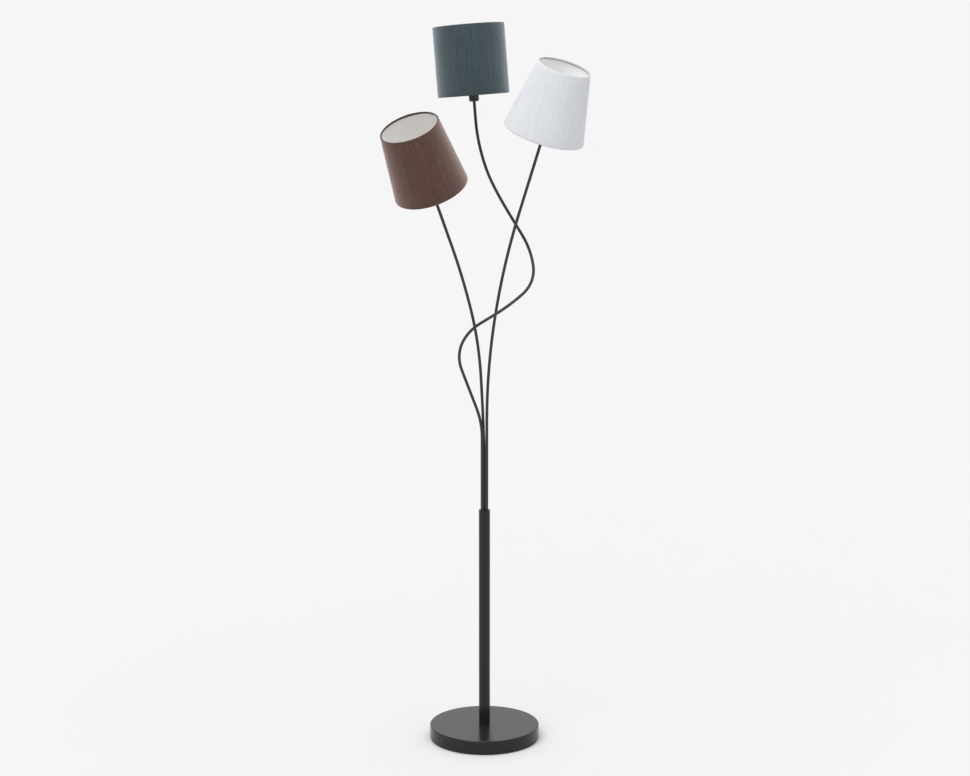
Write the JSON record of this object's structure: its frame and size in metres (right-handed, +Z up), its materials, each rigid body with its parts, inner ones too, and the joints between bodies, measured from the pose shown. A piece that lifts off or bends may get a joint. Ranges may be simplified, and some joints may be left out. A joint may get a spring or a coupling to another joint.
{
  "type": "tree floor lamp",
  "caption": "Floor lamp with a round weighted base, a short pole and bent tube arms that each carry a tilted fabric shade on a screw lampholder.",
  "frame": {"origin": "centre of the base's underside, on the floor", "axes": "+Z up along the pole, -Y towards the front, where the left and right shades lean, +X towards the white shade"},
  "size_m": [0.4342, 0.3893, 1.5899],
  "materials": {
    "black_metal": "satin near-black lacquer",
    "cast_iron": "as cast, oiled",
    "pad": "matte foam rubber",
    "steel": "zinc-plated",
    "brass": "pressed, bright",
    "block": "matte white",
    "gland": "matte black",
    "lead": "sheathed twin lead",
    "holder": "moulded, matte black",
    "liner": "matte pale lining",
    "wire": "white-coated wire",
    "left_fabric": "woven, warm brown",
    "centre_fabric": "woven, grey-blue",
    "right_fabric": "woven, white",
    "bulb_cap": "pressed, bright",
    "bulb_glass": "opal"
  },
  "bodies": {
    "lamp": {"arm_nipples": "steel", "base_cover": "black_metal", "base_pad": "pad", "base_weight": "cast_iron", "block_screw": "steel", "bottom_plate": "steel", "centre_arm_tube": "black_metal", "centre_holder_base": "holder", "centre_holder_cup": "black_metal", "centre_holder_shell": "brass", "centre_holder_skirt": "holder", "centre_lead": "lead", "cord_gland": "gland", "earth_screw": "steel", "foot_bush": "steel", "foot_nut": "steel", "foot_washer": "steel", "holder_contacts": "brass", "left_arm_tube": "black_metal", "left_holder_base": "holder", "left_holder_cup": "black_metal", "left_holder_shell": "brass", "left_holder_skirt": "holder", "left_lead": "lead", "plate_screws": "steel", "plug_screw": "steel", "pole_plug": "black_metal", "pole_tube": "black_metal", "right_arm_tube": "black_metal", "right_holder_base": "holder", "right_holder_cup": "black_metal", "right_holder_shell": "brass", "right_holder_skirt": "holder", "right_lead": "lead", "terminal_block": "block", "terminal_screws": "brass"},
    "left_shade": {"left_shade_fabric": "left_fabric", "left_shade_frame": "wire", "left_shade_liner": "liner", "left_shade_top_wire": "wire"},
    "left_ring": {"left_shade_ring": "holder"},
    "left_bulb": {"left_bulb_cap": "bulb_cap", "left_bulb_glass": "bulb_glass"},
    "centre_shade": {"centre_shade_fabric": "centre_fabric", "centre_shade_frame": "wire", "centre_shade_liner": "liner", "centre_shade_top_wire": "wire"},
    "centre_ring": {"centre_shade_ring": "holder"},
    "centre_bulb": {"centre_bulb_cap": "bulb_cap", "centre_bulb_glass": "bulb_glass"},
    "right_shade": {"right_shade_fabric": "right_fabric", "right_shade_frame": "wire", "right_shade_liner": "liner", "right_shade_top_wire": "wire"},
    "right_ring": {"right_shade_ring": "holder"},
    "right_bulb": {"right_bulb_cap": "bulb_cap", "right_bulb_glass": "bulb_glass"}
  },
  "joints": [
    {"name": "left_shade_turn", "type": "hinge", "parent": "lamp", "child": "left_shade", "pos_m": [-0.11029, -0.14938, 1.24488], "axis": [-0.292, -0.3842, 0.8759], "continuous": true},
    {"name": "left_ring_unscrew", "type": "hinge", "parent": "lamp", "child": "left_ring", "pos_m": [-0.11029, -0.14938, 1.24488], "axis": [-0.292, -0.3842, 0.8759], "range_deg": [0, 1440]},
    {"name": "left_bulb_unscrew", "type": "hinge", "parent": "lamp", "child": "left_bulb", "pos_m": [-0.11029, -0.14938, 1.24488], "axis": [-0.292, -0.3842, 0.8759], "range_deg": [0, 1440]},
    {"name": "centre_shade_turn", "type": "hinge", "parent": "lamp", "child": "centre_shade", "pos_m": [-0.02308, 0.02003, 1.434], "axis": [-0.0784, 0.0336, 0.9964], "continuous": true},
    {"name": "centre_ring_unscrew", "type": "hinge", "parent": "lamp", "child": "centre_ring", "pos_m": [-0.02308, 0.02003, 1.434], "axis": [-0.0784, 0.0336, 0.9964], "range_deg": [0, 1440]},
    {"name": "centre_bulb_unscrew", "type": "hinge", "parent": "lamp", "child": "centre_bulb", "pos_m": [-0.02308, 0.02003, 1.434], "axis": [-0.0784, 0.0336, 0.9964], "range_deg": [0, 1440]},
    {"name": "right_shade_turn", "type": "hinge", "parent": "lamp", "child": "right_shade", "pos_m": [0.12428, -0.10724, 1.35793], "axis": [0.2757, -0.2425, 0.9301], "continuous": true},
    {"name": "right_ring_unscrew", "type": "hinge", "parent": "lamp", "child": "right_ring", "pos_m": [0.12428, -0.10724, 1.35793], "axis": [0.2757, -0.2425, 0.9301], "range_deg": [0, 1440]},
    {"name": "right_bulb_unscrew", "type": "hinge", "parent": "lamp", "child": "right_bulb", "pos_m": [0.12428, -0.10724, 1.35793], "axis": [0.2757, -0.2425, 0.9301], "range_deg": [0, 1440]}
  ]
}
